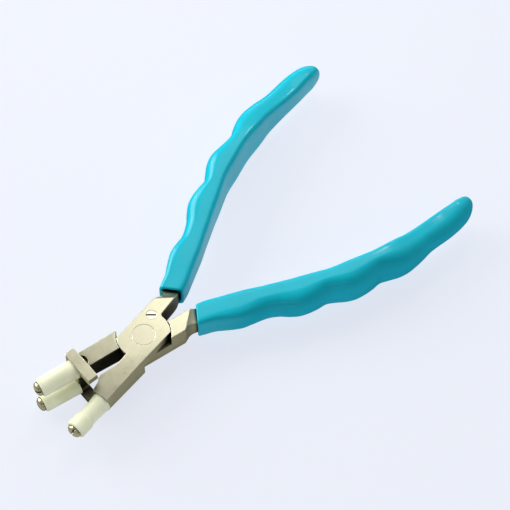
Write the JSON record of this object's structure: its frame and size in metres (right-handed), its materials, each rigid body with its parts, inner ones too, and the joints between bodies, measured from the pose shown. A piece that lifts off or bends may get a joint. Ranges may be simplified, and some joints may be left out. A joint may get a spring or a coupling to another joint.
{
  "type": "eyewear bending pliers",
  "caption": "Lap-joint hand pliers with nylon pegs: one peg closes between two others on a crosshead to hold and bend an eyewear frame or wire.",
  "frame": {"origin": "on the pivot axis, at the underside of the joint", "axes": "+Z along the pivot axis, out of the upper half's face; +Y between the handles, away from the jaws; +X towards the right grip"},
  "size_m": [0.0782, 0.1447, 0.018],
  "materials": {
    "satin_steel": "satin, fine grain",
    "pin_steel": "ground flush",
    "screw_steel": "bright",
    "nylon": "slightly translucent, natural",
    "grip_vinyl": "smooth moulded vinyl"
  },
  "bodies": {
    "lower": {"lower_half": "satin_steel", "crosshead": "satin_steel", "pivot_pin": "pin_steel", "upper_peg": "nylon", "lower_peg": "nylon", "twin_peg_screws": "screw_steel", "right_grip": "grip_vinyl"},
    "upper": {"upper_half": "satin_steel", "joint_set_screw": "screw_steel", "single_peg": "nylon", "single_peg_screw": "screw_steel", "left_grip": "grip_vinyl"}
  },
  "joints": [
    {"name": "jaw_hinge", "type": "hinge", "parent": "lower", "child": "upper", "pos_m": [0, 0, 0.00427], "axis": [0, 0, 1], "range_deg": [-13.9, 78.6]}
  ]
}
